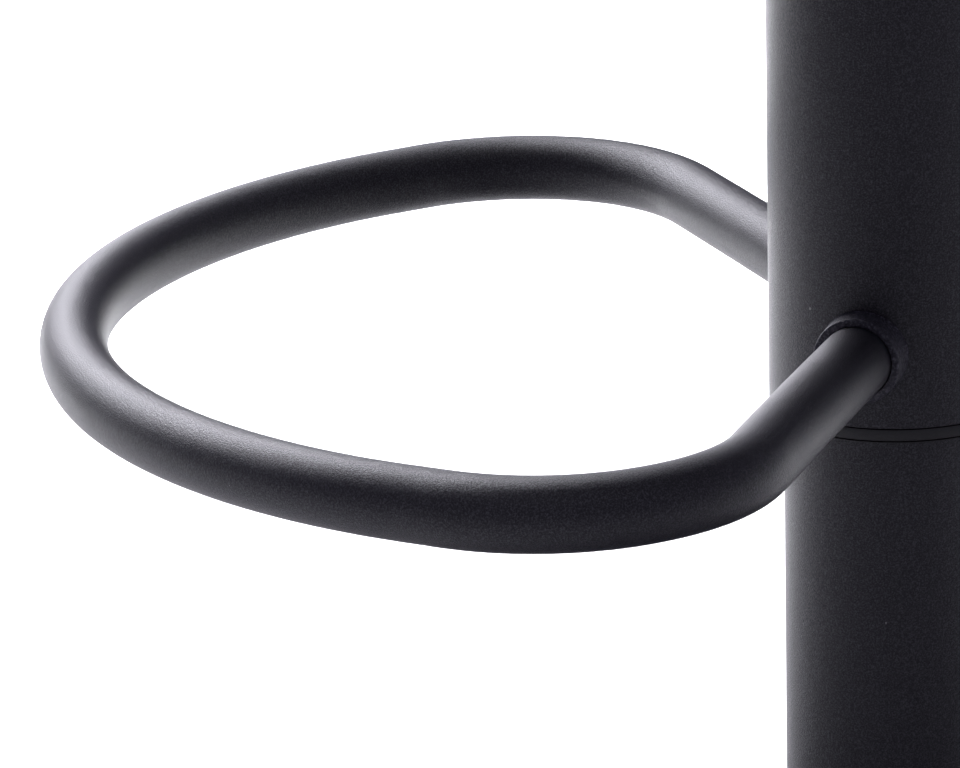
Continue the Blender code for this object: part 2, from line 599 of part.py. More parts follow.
def make_seat(axis):
    cloth = seat_outline(0.025)
    cloth_bm = lofted([(cloth, PAN_TOP + GAP), (cloth, BOARD_BOTTOM - GAP)])
    cloth_piece = add_piece("seat_dust_cloth", cloth_bm, DUST_CLOTH, axis)
    cut_away(cloth_piece, bars_at_screws(0.0036, PAN_TOP - 0.003, BOARD_BOTTOM + 0.003),
             "cutter_cloth_holes")

    board = seat_outline(BOARD_INSET)
    board_piece = add_piece("seat_board", lofted([(board, BOARD_BOTTOM), (board, BOARD_TOP)]),
                            PLYWOOD, axis)
    counterbore = BOARD_TOP - 0.0018
    drill = bmesh.new()
    for place in screw_places():
        turned([(0, BOARD_BOTTOM - 0.003), (0.0044, BOARD_BOTTOM - 0.003), (0.0044, counterbore),
                (0.0093, counterbore), (0.0093, BOARD_TOP + 0.003), (0, BOARD_TOP + 0.003)],
               FINE_ROUND, bm=drill, center=place)
    cut_away(board_piece, drill, "cutter_board_holes")

    # the cover's side bulges a little and crowns over the top; below, it turns
    # in under the board, where it is stapled
    side = [(0.0015, 0.562), (0.0, 0.585), (0.001, 0.606), (0.007, 0.622), (0.019, 0.632),
            (0.050, 0.638), (0.090, CUSHION_TOP)]
    fold_bottom = BOARD_BOTTOM - GAP - COVER_THICKNESS
    outside = [(0.024, fold_bottom), (0.0058, fold_bottom), (0.0042, 0.5482), (0.0036, 0.5500)] + side
    inside = shrunk(side, COVER_THICKNESS)
    inside = [(0.024, BOARD_BOTTOM - GAP), (BOARD_INSET - GAP, BOARD_BOTTOM - GAP),
              (BOARD_INSET - GAP, 0.5540)] + inside
    cover = [(seat_outline(inset), z) for inset, z in inside[::-1] + outside]
    add_piece("seat_cover", lofted(cover), FAUX_LEATHER, axis)
    foam = [(BOARD_INSET, BOARD_TOP + GAP), (0.0040, BOARD_TOP + 0.004)]
    foam += shrunk(side[1:], COVER_THICKNESS + 0.0005)
    foam_levels = [(seat_outline(inset), z) for inset, z in foam]
    add_piece("seat_foam", lofted(foam_levels), FOAM, axis)

    flange_bottom = PAN_TOP - PAN_SHEET
    washer_top = flange_bottom - GAP
    washer_low = washer_top - 0.0014
    head_top = washer_low - GAP
    head_low = head_top - 0.0036
    for number, (x, y) in enumerate(screw_places(), 1):
        washer = ring(SCREW_RADIUS + 0.0006, 0.0070, washer_low, washer_top)
        add_piece(f"seat_washer_{number}", turned(washer, FINE_ROUND, center=(x, y)),
                  ZINC_PLATED, axis)
        socket = head_low + 0.002
        screw = [(0, socket), (0.0024, socket), (0.0024, head_low), (0.0042, head_low),
                 (0.0058, head_low + 0.0012), (0.0058, head_top), (SCREW_RADIUS, head_top),
                 (SCREW_RADIUS, 0.5595), (SCREW_RADIUS - 0.0006, 0.5602), (0, 0.5602)]
        add_piece(f"seat_screw_{number}", turned(screw, FINE_ROUND, center=(x, y)),
                  ZINC_PLATED, axis)
        flange = BOARD_TOP - 0.0018 + GAP
        nut = [(SCREW_RADIUS + GAP, 0.5510), (0.0041, 0.5510), (0.0041, flange), (0.0090, flange),
               (0.0090, BOARD_TOP - 0.0003), (SCREW_RADIUS + GAP, BOARD_TOP - 0.0003)]
        add_piece(f"tee_nut_{number}", turned(nut, FINE_ROUND, center=(x, y)), ZINC_PLATED, axis)


# ---- height lever ----------------------------------------------------------
def make_lever_bracket(axis):
    foot = PAN_BOTTOM + PAN_SHEET + GAP
    sheet = 0.002
    inner = BLOCK_WIDTH / 2 + 0.0006
    top = PIVOT.z + 0.006
    section = [(-inner - sheet, top), (-inner - sheet, foot), (inner + sheet, foot),
               (inner + sheet, top), (inner, top), (inner, foot + sheet), (-inner, foot + sheet),
               (-inner, top)]
    bm = bmesh.new()
    face = bm.faces.new([bm.verts.new((PIVOT.x - 0.006, y, z)) for y, z in section])
    side = bmesh.ops.extrude_face_region(bm, geom=[face])["geom"]
    moved = [item for item in side if isinstance(item, bmesh.types.BMVert)]
    bmesh.ops.translate(bm, vec=(0.012, 0, 0), verts=moved)
    bracket = add_piece("lever_bracket", bm, ZINC_PLATED, axis)
    hole = round_bar(PIVOT_RADIUS + GAP, 0.04, (0, 1, 0), PIVOT)
    cut_away(bracket, hole, "cutter_bracket_hole")
    pin_length = 2 * (inner + sheet) + 0.003
    pin = round_bar(PIVOT_RADIUS, pin_length, (0, 1, 0), PIVOT)
    add_piece("lever_pivot_pin", pin, ZINC_PLATED, axis)


def make_lever(axis):
    """The lever's pieces, placed from the pivot."""
    tip = -PIVOT.x + 0.0075
    pad_low = VALVE_TOP + GAP - PIVOT.z
    back = -0.0105
    half = BLOCK_WIDTH / 2
    section = [(back, pad_low), (tip, pad_low), (tip, pad_low + 0.003), (0.0065, 0.0045),
               (back, 0.0045)]
    bm = bmesh.new()
    face = bm.faces.new([bm.verts.new((x, -half, z)) for x, z in section])
    side = bmesh.ops.extrude_face_region(bm, geom=[face])["geom"]
    moved = [item for item in side if isinstance(item, bmesh.types.BMVert)]
    bmesh.ops.translate(bm, vec=(0, BLOCK_WIDTH, 0), verts=moved)
    block = add_piece("lever_block", bm, ZINC_PLATED, axis)
    cut_away(block, round_bar(PIVOT_RADIUS + GAP, 0.04, (0, 1, 0), (0, 0, 0)), "cutter_block_bore")

    bend_start = Vector((-0.020, 0.0, 0.0))
    path = [Vector((back - GAP, 0, 0)), bend_start]
    bend = 0.030
    steps = 5
    for i in range(1, steps + 1):
        turn = LEVER_DROP * i / steps
        path.append(bend_start + Vector((-bend * math.sin(turn), 0, -bend * (1 - math.cos(turn)))))
    down = Vector((-math.cos(LEVER_DROP), 0, -math.sin(LEVER_DROP)))
    knob_length = 0.042
    knob_tip = path[-1] + down * ((LEVER_REACH + path[-1].x) / math.cos(LEVER_DROP))
    rod_end = knob_tip - down * 0.008
    path.append(rod_end)
    add_piece("lever_rod", pipe(path, LEVER_ROD_RADIUS, 12), POWDER_COAT, axis)

    bore = LEVER_ROD_RADIUS + GAP
    deep = knob_length - 0.008 + GAP
    knob = [(bore, 0), (0.0062, 0), (0.0072, 0.002), (0.0082, 0.012), (0.0088, 0.026),
            (0.0080, 0.036), (0.0055, 0.0405), (0, knob_length), (0, deep), (bore, deep)]
    bm = bmesh.new()
    turned(knob, SMALL_ROUND, bm=bm)
    turn = Vector((0, 0, 1)).rotation_difference(down).to_matrix().to_4x4()
    place = Matrix.Translation(knob_tip - down * knob_length)
    bmesh.ops.transform(bm, matrix=place @ turn, verts=bm.verts)
    add_piece("lever_knob", bm, BLACK_NYLON, axis)


# ---- the stool -------------------------------------------------------------
clear_scene()
make_base()
make_lift_tube()
swivel_axis = add_axis("swivel_axis", (0, 0, 0))
make_piston(swivel_axis)
height_axis = add_axis("height_axis", (0, 0, 0), swivel_axis)
make_cylinder(height_axis)
make_sleeve(height_axis)
make_footrest(height_axis)
make_seat_pan(height_axis)
make_seat(height_axis)
make_lever_bracket(height_axis)
lever_axis = add_axis("lever_axis", PIVOT, height_axis)
make_lever(lever_axis)
bpy.context.view_layer.update()
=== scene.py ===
"""A gas-lift bar stool with a looped footrest: its finished surfaces, seat and studio."""
import math
import random

import bmesh
import bpy
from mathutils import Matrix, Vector
from mathutils.bvhtree import BVHTree


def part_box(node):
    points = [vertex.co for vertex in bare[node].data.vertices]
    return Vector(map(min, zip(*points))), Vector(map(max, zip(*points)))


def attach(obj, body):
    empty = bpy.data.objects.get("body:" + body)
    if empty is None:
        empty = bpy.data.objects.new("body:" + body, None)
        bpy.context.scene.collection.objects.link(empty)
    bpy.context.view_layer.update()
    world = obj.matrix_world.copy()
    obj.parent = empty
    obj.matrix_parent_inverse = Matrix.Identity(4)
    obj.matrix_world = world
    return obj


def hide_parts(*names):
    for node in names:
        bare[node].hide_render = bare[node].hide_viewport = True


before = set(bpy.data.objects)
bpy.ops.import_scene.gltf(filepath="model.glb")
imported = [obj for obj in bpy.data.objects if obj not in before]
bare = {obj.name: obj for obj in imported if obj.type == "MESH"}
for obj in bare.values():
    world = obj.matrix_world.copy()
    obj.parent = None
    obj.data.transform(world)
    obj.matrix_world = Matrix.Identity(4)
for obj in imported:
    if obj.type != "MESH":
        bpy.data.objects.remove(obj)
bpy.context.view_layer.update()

# ---- Base cover ----------------------------------------------------------------
# A spun steel disc that sweeps up into a trumpet neck round the column. It is
# powder coated black with a fine sand texture and pressed over the weight plate.


def mix(tree, factor, first, second):
    """A colour between two others; each may be a value or another node's output."""
    node = tree.nodes.new("ShaderNodeMix")
    node.data_type = "RGBA"
    for socket, value in ((node.inputs["Factor"], factor), (node.inputs["A"], first),
                          (node.inputs["B"], second)):
        if isinstance(value, bpy.types.NodeSocket):
            tree.links.new(value, socket)
        elif isinstance(value, (int, float)):
            socket.default_value = value
        else:
            socket.default_value = (*value, 1.0)
    return node.outputs["Result"]


def noise(tree, size, detail=2.0, rough=0.5, stretch=None):
    """Even noise whose features are about `size` metres across, fixed to the piece."""
    place = tree.nodes.new("ShaderNodeTexCoord")
    texture = tree.nodes.new("ShaderNodeTexNoise")
    texture.inputs["Scale"].default_value = 1.0 / size
    texture.inputs["Detail"].default_value = detail
    texture.inputs["Roughness"].default_value = rough
    vector = place.outputs["Object"]
    if stretch:
        mapping = tree.nodes.new("ShaderNodeMapping")
        mapping.inputs["Scale"].default_value = stretch
        tree.links.new(vector, mapping.inputs["Vector"])
        vector = mapping.outputs["Vector"]
    tree.links.new(vector, texture.inputs["Vector"])
    return texture.outputs["Fac"]


def ramp(tree, value, low, high, start=0.0, end=1.0):
    """Remap a value from low..high to start..end, clamped."""
    node = tree.nodes.new("ShaderNodeMapRange")
    node.inputs["From Min"].default_value = low
    node.inputs["From Max"].default_value = high
    node.inputs["To Min"].default_value = start
    node.inputs["To Max"].default_value = end
    tree.links.new(value, node.inputs["Value"])
    return node.outputs["Result"]


def bump(tree, height, distance, strength=1.0, under=None):
    """Raise the surface by `height`, over another bump if one is given."""
    node = tree.nodes.new("ShaderNodeBump")
    node.inputs["Strength"].default_value = strength
    node.inputs["Distance"].default_value = distance
    tree.links.new(height, node.inputs["Height"])
    if under:
        tree.links.new(under, node.inputs["Normal"])
    return node.outputs["Normal"]


def new_finish(name, metallic=0.0, specular=0.5):
    material = bpy.data.materials.new(name)
    material.use_nodes = True
    shader = material.node_tree.nodes["Principled BSDF"]
    shader.inputs["Metallic"].default_value = metallic
    shader.inputs["Specular IOR Level"].default_value = specular
    return material, material.node_tree, shader


def powder_coat(name, grain=0.00045, pale=1.0):
    """Satin black powder: sandy grain, soft orange peel and a few pale specks. A pale factor above one
    paints the whole coat lighter, as painted light.
    """
    material, tree, shader = new_finish(name)
    sand = noise(tree, grain, detail=3.0, rough=0.65)
    peel = noise(tree, 0.0035, detail=1.0)
    cloud = noise(tree, 0.06, detail=2.0)
    # Multiplying by pale paints the coat lighter where pale is above one: painted light.
    tone = mix(tree, ramp(tree, cloud, 0.35, 0.65), (0.0095 * pale, 0.0090 * pale, 0.0130 * pale),
               (0.0125 * pale, 0.0120 * pale, 0.0165 * pale))
    grit = mix(tree, ramp(tree, sand, 0.50, 0.72), tone, (0.040 * pale, 0.039 * pale, 0.050 * pale))
    speck = noise(tree, 0.0016, detail=0.0)
    color = mix(tree, ramp(tree, speck, 0.92, 0.935), grit, (0.16, 0.155, 0.16))
    tree.links.new(color, shader.inputs["Base Color"])
    tree.links.new(ramp(tree, sand, 0.3, 0.7, 0.36, 0.50), shader.inputs["Roughness"])
    tree.links.new(ramp(tree, sand, 0.38, 0.62, 0.26, 0.56), shader.inputs["Specular IOR Level"])
    soft = bump(tree, peel, 0.0004, 0.10)
    tree.links.new(bump(tree, sand, grain * 0.7, 0.75, soft), shader.inputs["Normal"])
    return material


def as_piece(name, bm, material, body, stands_for=()):
    """Make a finished object of a bmesh, and say what it moves with and stands for."""
    bmesh.ops.remove_doubles(bm, verts=bm.verts, dist=1e-7)
    bmesh.ops.recalc_face_normals(bm, faces=bm.faces)
    mesh = bpy.data.meshes.new(name)
    bm.to_mesh(mesh)
    bm.free()
    mesh.shade_smooth()
    mesh.set_sharp_from_angle(angle=math.radians(40))
    mesh.materials.append(material)
    piece = bpy.data.objects.new(name, mesh)
    bpy.context.scene.collection.objects.link(piece)
    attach(piece, body)
    if stands_for:
        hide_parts(*stands_for)
    return piece


def turned(outline, sides=160):
    """Spin a closed outline of (radius, height) points about the upright axis."""
    bm = bmesh.new()
    columns = []
    for k in range(sides):
        angle = 2 * math.pi * k / sides
        columns.append([bm.verts.new((r * math.cos(angle), r * math.sin(angle), z))
                        for r, z in outline])
    for k in range(sides):
        here, after = columns[k], columns[(k + 1) % sides]
        for i in range(len(outline)):
            j = (i + 1) % len(outline)
            bm.faces.new([here[i], after[i], after[j], here[j]])
    return bm


def eased(outline, radius, steps=4):
    """The same closed outline with each corner rounded off."""
    rounded = []
    for i, corner in enumerate(outline):
        here = Vector(corner)
        before = Vector(outline[i - 1]) - here
        after = Vector(outline[(i + 1) % len(outline)]) - here
        reach = min(radius, before.length * 0.45, after.length * 0.45)
        start = here + before.normalized() * reach
        end = here + after.normalized() * reach
        for k in range(steps + 1):
            t = k / steps
            rounded.append(tuple((1 - t) ** 2 * start + 2 * t * (1 - t) * here + t * t * end))
    return rounded


black_powder = powder_coat("black_powder_coat")

BASE_SHEET = 0.0015
base_low, base_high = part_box("base_cover")
base_radius = base_high.x
neck_height = base_high.z
column_low, column_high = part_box("lower_column")
column_radius = column_high.x
neck_radius = column_radius + 0.0003 + BASE_SHEET
neck_bore = column_radius + 0.0004
edge_radius = base_radius - 0.006
EDGE_HEIGHT = 0.0165
EDGE_ROUND = 0.0045
FLARE_STEPS = 60


def flare(r):
    """Height of the cover's outside at radius r."""
    share = (1 / r - 1 / edge_radius) / (1 / neck_radius - 1 / edge_radius)
    return EDGE_HEIGHT + (neck_height - EDGE_HEIGHT) * max(share, 0.0) ** 1.15


outline = [(base_radius, base_low.z)]
for k in range(7):
    turn = math.pi / 2 * k / 6
    outline.append((base_radius - EDGE_ROUND + EDGE_ROUND * math.cos(turn),
                    EDGE_HEIGHT - 0.0048 + EDGE_ROUND * math.sin(turn)))
radii = [(edge_radius - 0.001) * (neck_radius / (edge_radius - 0.001)) ** (k / FLARE_STEPS)
         for k in range(FLARE_STEPS + 1)]
outline += [(r, flare(r)) for r in radii]
outline += [(neck_bore, neck_height), (neck_bore, neck_height - 0.010)]
outline += [(r, flare(r) - BASE_SHEET * 1.3) for r in reversed(radii[:-6:3])]
outline += [(base_radius - BASE_SHEET, EDGE_HEIGHT - 0.0035), (base_radius - BASE_SHEET, base_low.z)]
as_piece("base_shell", turned(outline, 200), black_powder, "base", ("base_cover",))

# ---- Neck ring -----------------------------------------------------------------
# A moulded nylon ring that closes the gap between the cover's neck and the column.
# It slides down over the column and rests on the neck.


def nylon(name, color, lighter):
    """Moulded nylon: a fine spark-eroded grain under a low sheen."""
    material, tree, shader = new_finish(name, specular=0.4)
    grain = noise(tree, 0.0003, detail=2.0)
    flow = noise(tree, 0.02, detail=3.0)
    tree.links.new(mix(tree, ramp(tree, flow, 0.3, 0.7), color, lighter), shader.inputs["Base Color"])
    tree.links.new(ramp(tree, grain, 0.3, 0.7, 0.42, 0.58), shader.inputs["Roughness"])
    tree.links.new(bump(tree, grain, 0.00008, 0.5), shader.inputs["Normal"])
    return material


black_nylon = nylon("black_nylon", (0.010, 0.010, 0.011), (0.016, 0.016, 0.017))
low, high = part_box("base_neck_ring")
outline = eased([(neck_bore, low.z), (high.x, low.z), (high.x, high.z), (neck_bore, high.z)], 0.0018)
as_piece("neck_ring", turned(outline), black_nylon, "base", ("base_neck_ring",))

# ---- Floor ring and weight plate -------------------------------------------------
# A soft rubber ring keeps the steel off the floor. The weight plate above it is
# flame-cut steel with a rough dipped paint.


def rubber(name):
    material, tree, shader = new_finish(name, specular=0.25)
    grain = noise(tree, 0.0006, detail=3.0)
    dust = noise(tree, 0.03, detail=4.0)
    color = mix(tree, ramp(tree, dust, 0.4, 0.75), (0.014, 0.014, 0.014), (0.032, 0.031, 0.030))
    tree.links.new(color, shader.inputs["Base Color"])
    tree.links.new(ramp(tree, grain, 0.3, 0.7, 0.78, 0.92), shader.inputs["Roughness"])
    tree.links.new(bump(tree, grain, 0.0001, 0.5), shader.inputs["Normal"])
    return material


def dipped_steel(name):
    material, tree, shader = new_finish(name, specular=0.45)
    scale = noise(tree, 0.004, detail=4.0)
    fine = noise(tree, 0.0008, detail=2.0)
    color = mix(tree, ramp(tree, scale, 0.35, 0.7), (0.020, 0.020, 0.021), (0.045, 0.044, 0.044))
    tree.links.new(color, shader.inputs["Base Color"])
    tree.links.new(ramp(tree, scale, 0.3, 0.7, 0.4, 0.62), shader.inputs["Roughness"])
    tree.links.new(bump(tree, fine, 0.00012, 0.5), shader.inputs["Normal"])
    return material


soft_rubber = rubber("soft_rubber")
dark_steel = dipped_steel("dark_steel")
low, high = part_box("base_floor_ring")
RING_WIDTH = 0.0165
outline = eased([(high.x - RING_WIDTH, low.z), (high.x, low.z), (high.x, high.z),
                 (high.x - RING_WIDTH, high.z)], 0.0012)
as_piece("floor_ring", turned(outline), soft_rubber, "base", ("base_floor_ring",))
low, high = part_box("base_plate")
PLATE_HOLE = 0.020
outline = eased([(PLATE_HOLE, low.z), (high.x, low.z), (high.x, high.z), (PLATE_HOLE, high.z)], 0.0006, 2)
as_piece("weight_plate", turned(outline), dark_steel, "base", ("base_plate",))


def finish_bare(material, *names):
    """Give pieces whose shape is already right their finish."""
    for name in names:
        bare[name].data.materials.clear()
        bare[name].data.materials.append(material)
        bare[name].data.shade_smooth()
        bare[name].data.set_sharp_from_angle(angle=math.radians(35))


finish_bare(dark_steel, "base_socket")

# ---- Lower column ----------------------------------------------------------------
# A welded steel tube that stands in the base and hides the gas lift. It carries
# the same powder coat; a nylon bush on its top end steadies the sleeve.
COLUMN_WALL = 0.0015


def tube_outline(radius, wall, low, high, ease=0.0004):
    return eased([(radius - wall, low), (radius, low), (radius, high), (radius - wall, high)], ease, 2)


outline = tube_outline(column_radius, COLUMN_WALL, column_low.z, column_high.z)
as_piece("column_tube", turned(outline, 240), black_powder, "base", ("lower_column",))
white_nylon = nylon("white_nylon", (0.72, 0.70, 0.66), (0.78, 0.77, 0.73))
finish_bare(white_nylon, "lower_column_bush")

# ---- Gas lift --------------------------------------------------------------------
# The bought-in lift: a painted outer tube and cylinder, ground steel piston parts,
# nylon guides and rubber seal and stop. The seat turns on its thrust bearing.


def ground_steel(name, color, brighter, roughness):
    """Bare or plated steel with fine turning marks."""
    material, tree, shader = new_finish(name, metallic=1.0)
    marks = noise(tree, 0.0006, detail=3.0, stretch=(0.15, 0.15, 2.0))
    stain = noise(tree, 0.008, detail=3.0)
    tree.links.new(mix(tree, ramp(tree, stain, 0.35, 0.7), color, brighter), shader.inputs["Base Color"])
    tree.links.new(ramp(tree, marks, 0.3, 0.7, roughness - 0.07, roughness + 0.07),
                   shader.inputs["Roughness"])
    tree.links.new(bump(tree, marks, 0.00003, 0.4), shader.inputs["Normal"])
    return material


bright_steel = ground_steel("ground_steel", (0.52, 0.52, 0.53), (0.62, 0.62, 0.62), 0.24)
zinc_plate = ground_steel("zinc_plate", (0.45, 0.46, 0.49), (0.56, 0.56, 0.56), 0.36)
finish_bare(dark_steel, "lift_outer_tube", "pressure_cylinder")
finish_bare(black_nylon, "lift_guide_bush", "cylinder_gland")
finish_bare(bright_steel, "piston_rod", "piston_head", "thrust_bearing", "thrust_washer_lower",
            "thrust_washer_upper", "valve_pin")
finish_bare(zinc_plate, "rod_clip", "piston_nut")
finish_bare(soft_rubber, "piston_seal", "bump_stop")

# ---- Sleeve ----------------------------------------------------------------------
# The wider steel tube that hangs from the seat and slides over the column. A nylon
# guide ring fills its lower end, with a groove above its lip. A nylon cap, screwed up
# into the seat pan, closes its top round the taper hub.
SLEEVE_WALL = 0.0015
GROOVE_DEPTH = 0.0014
LIP_HEIGHT = 0.0005
HUB_RADIUS = 0.0183
sleeve_low, sleeve_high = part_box("upper_sleeve")
sleeve_radius = sleeve_high.x
outline = tube_outline(sleeve_radius, SLEEVE_WALL, sleeve_low.z, sleeve_high.z, 0.0003)
as_piece("sleeve_tube", turned(outline, 240), black_powder, "upper", ("upper_sleeve",))

low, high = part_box("sleeve_guide_ring")
inside = column_radius + 0.0003
spigot = sleeve_radius - SLEEVE_WALL - 0.0003
rim_top = sleeve_low.z - 0.00025
lip = sleeve_radius - 0.0003
groove = sleeve_radius - GROOVE_DEPTH
outline = eased([(inside, low.z - LIP_HEIGHT), (lip, low.z - LIP_HEIGHT), (lip, low.z - 0.0002),
                 (groove, low.z - 0.0002), (groove, low.z + 0.0002),
                 (sleeve_radius, low.z + 0.0002), (sleeve_radius, rim_top),
                 (spigot, rim_top), (spigot, high.z), (inside, high.z)], 0.0001, 2)
as_piece("guide_ring", turned(outline, 240), black_nylon, "upper", ("sleeve_guide_ring",))

low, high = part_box("sleeve_top_cap")
outline = eased([(HUB_RADIUS, low.z), (spigot, low.z), (spigot, sleeve_high.z + 0.0003),
                 (high.x, sleeve_high.z + 0.0003), (high.x, high.z), (HUB_RADIUS, high.z)], 0.0006, 2)
as_piece("sleeve_cap", turned(outline), black_nylon, "upper", ("sleeve_top_cap",))
finish_bare(zinc_plate, "cap_screw_1", "cap_screw_2", "cap_screw_3")

# ---- Footrest loop ---------------------------------------------------------------
# One length of 19 mm steel tube, cold bent to a bowed front and two tight corners,
# then turned back to the sleeve. The long front bend draws its inside in a little.
TUBE_WALL = 0.0015
FRONT_BEND = 0.1725
FRONT_SWEEP = math.radians(59.65)
SIDE_STRAIGHT = 0.0107
CORNER_BEND = 0.0546
CORNER_SWEEP = math.radians(100.07)
TUBE_SIDES = 72
FLATTENED = 0.0375     # how far the front bend's inside is drawn in, as a share of the radius
END_DROP = 0.0022      # the welded ends sit a little lower than the front
DROP_START = -0.075    # how far forward the tube begins to drop, and over what length
DROP_LENGTH = 0.062

loop_low, loop_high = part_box("footrest_loop")
tube_radius = (loop_high.z - loop_low.z) / 2
loop_height = (loop_high.z + loop_low.z) / 2
loop_reach = -loop_low.y - tube_radius


def bend(points, heading, radius, sweep, steps):
    """Go on round a left-hand bend from the last point; gives the new heading."""
    x, y, _ = points[-1]
    middle_x, middle_y = x - radius * math.sin(heading), y + radius * math.cos(heading)
    for k in range(1, steps + 1):
        turn = heading + sweep * k / steps
        points.append((middle_x + radius * math.sin(turn), middle_y - radius * math.cos(turn),
                       1.0 / radius))
    return heading + sweep


def loop_half():
    """Middle line of one half, from the front to the sleeve, with its curvature."""
    points = [(0.0, -loop_reach, 1.0 / FRONT_BEND)]
    heading = bend(points, 0.0, FRONT_BEND, FRONT_SWEEP, 48)
    x, y, _ = points[-1]
    for k in range(1, 5):
        step = SIDE_STRAIGHT * k / 4
        points.append((x + step * math.cos(heading), y + step * math.sin(heading), 0.0))
    heading = bend(points, heading, CORNER_BEND, CORNER_SWEEP, 44)
    x, y, _ = points[-1]
    length = math.hypot(x, y) - sleeve_radius - 0.0006
    for k in range(1, 13):
        step = length * k / 12
        points.append((x + step * math.cos(heading), y + step * math.sin(heading), 0.0))
    return points, heading


half, end_heading = loop_half()
line = [(-x, y, curve) for x, y, curve in reversed(half[1:])] + half
in_front = [1.0 if 0 < curve < 2.0 / FRONT_BEND else 0.0 for _, _, curve in line]
drawn_in = []
for i in range(len(line)):
    nearby = in_front[max(i - 3, 0):i + 4]
    drawn_in.append(sum(nearby) / len(nearby))
end_out = Vector((-math.cos(end_heading), -math.sin(end_heading), 0.0))


def loop_rings(bm, radius):
    """Rings of points along the loop; the two ends follow the sleeve's round side."""
    rings = []
    last = len(line) - 1
    for i, (x, y, _) in enumerate(line):
        ahead, behind = line[min(i + 1, last)], line[max(i - 1, 0)]
        along = Vector((ahead[0] - behind[0], ahead[1] - behind[1], 0.0)).normalized()
        side = Vector((along.y, -along.x, 0.0))
        drawn = FLATTENED * drawn_in[i]
        height = loop_height - END_DROP * min(max((y - DROP_START) / DROP_LENGTH, 0.0), 1.0) ** 2
        ring = []
        for k in range(TUBE_SIDES):
            turn = 2 * math.pi * k / TUBE_SIDES
            across = radius * ((1.0 - drawn) * math.cos(turn) + drawn)
            point = Vector((x, y, height)) + side * across
            point.z += radius * math.sin(turn)
            if i in (0, last):
                outward = along if i == 0 else -along
                skin = math.sqrt((sleeve_radius + 0.0004) ** 2 - across ** 2)
                point = outward * skin + side * across + Vector((0, 0, point.z))
            ring.append(bm.verts.new(point))
        rings.append(ring)
    return rings


bm = bmesh.new()
skins = [loop_rings(bm, tube_radius), loop_rings(bm, tube_radius - TUBE_WALL)]
for rings in skins:
    for here, after in zip(rings, rings[1:]):
        for k in range(TUBE_SIDES):
            m = (k + 1) % TUBE_SIDES
            bm.faces.new((here[k], here[m], after[m], after[k]))
for end in (0, -1):
    for k in range(TUBE_SIDES):
        m = (k + 1) % TUBE_SIDES
        bm.faces.new((skins[0][end][k], skins[0][end][m], skins[1][end][m], skins[1][end][k]))
as_piece("footrest_tube", bm, black_powder, "upper", ("footrest_loop",))

# ---- Footrest collars --------------------------------------------------------------
# A short steel boss is welded to the sleeve round each end of the tube. The weld
# and the powder over it leave its skin coarser than the tube's. Its coat is also
# painted lighter than the tube's, as painted light on its upper side.
COLLAR_RADIUS = 0.0117
COLLAR_FACE = 0.0410
COLLAR_EDGE = 0.0006
COLLAR_SIDES = 96
# pale=2.2 paints this coat lighter than the tube's: painted light, not a different powder.
coarse_powder_painted_lighter = powder_coat("black_powder_coat_over_weld_painted_lighter", grain=0.0008, pale=2.2)


def collar(out):
    """A boss whose back follows the sleeve, with a rounded rim and an eased mouth."""
    side = Vector((-out.y, out.x, 0.0))
    bore = tube_radius + 0.0001
    bm = bmesh.new()
    columns = []
    for k in range(COLLAR_SIDES):
        turn = 2 * math.pi * k / COLLAR_SIDES
        skin = math.sqrt((sleeve_radius + 0.0004) ** 2 - (COLLAR_RADIUS * math.cos(turn)) ** 2)
        bore_skin = math.sqrt((sleeve_radius + 0.0004) ** 2 - (bore * math.cos(turn)) ** 2)
        section = [(bore, bore_skin), (COLLAR_RADIUS + 0.0004, skin),
                   (COLLAR_RADIUS + 0.0001, skin + 0.0005)]
        for m in range(7):
            bow = math.pi / 2 * m / 6
            section.append((COLLAR_RADIUS - COLLAR_EDGE * (1 - math.cos(bow)),
                            COLLAR_FACE - COLLAR_EDGE * (1 - math.sin(bow))))
        section += [(bore + 0.0002, COLLAR_FACE - 0.00005), (bore, COLLAR_FACE - 0.0005)]
        spoke = side * math.cos(turn) + Vector((0, 0, math.sin(turn)))
        middle = Vector((0, 0, loop_height - END_DROP))
        columns.append([bm.verts.new(out * a + spoke * r + middle) for r, a in section])
    for k, here in enumerate(columns):
        after = columns[(k + 1) % len(columns)]
        for i in range(len(here)):
            j = (i + 1) % len(here)
            bm.faces.new((here[i], after[i], after[j], here[j]))
    return bm


as_piece("collar_left", collar(end_out), coarse_powder_painted_lighter, "upper", ("footrest_collar_left",))
mirrored = Vector((-end_out.x, end_out.y, 0.0))
as_piece("collar_right", collar(mirrored), coarse_powder_painted_lighter, "upper",
         ("footrest_collar_right",))

# ---- Seat pan ----------------------------------------------------------------------
# Pressed from 2.5 mm steel: a flat flange screwed under the seat, and a dished
# middle welded to the taper hub. A slot in its side lets the lever out.
finish_bare(black_powder, "seat_pan")
finish_bare(dark_steel, "seat_taper_hub")

# ---- Lever -------------------------------------------------------------------------
# A bent 8 mm rod with a push-on nylon grip. It tips the block that presses the
# valve pin, and swings on the pin of its bracket.
finish_bare(zinc_plate, "lever_bracket", "lever_pivot_pin", "lever_block")
finish_bare(black_powder, "lever_rod")
finish_bare(black_nylon, "lever_knob")

# ---- Seat board and fixings ----------------------------------------------------------
# Birch plywood with tee nuts let into its top. Four screws and washers hold the
# pan to it, over a non-woven cloth that hides the board's underside.


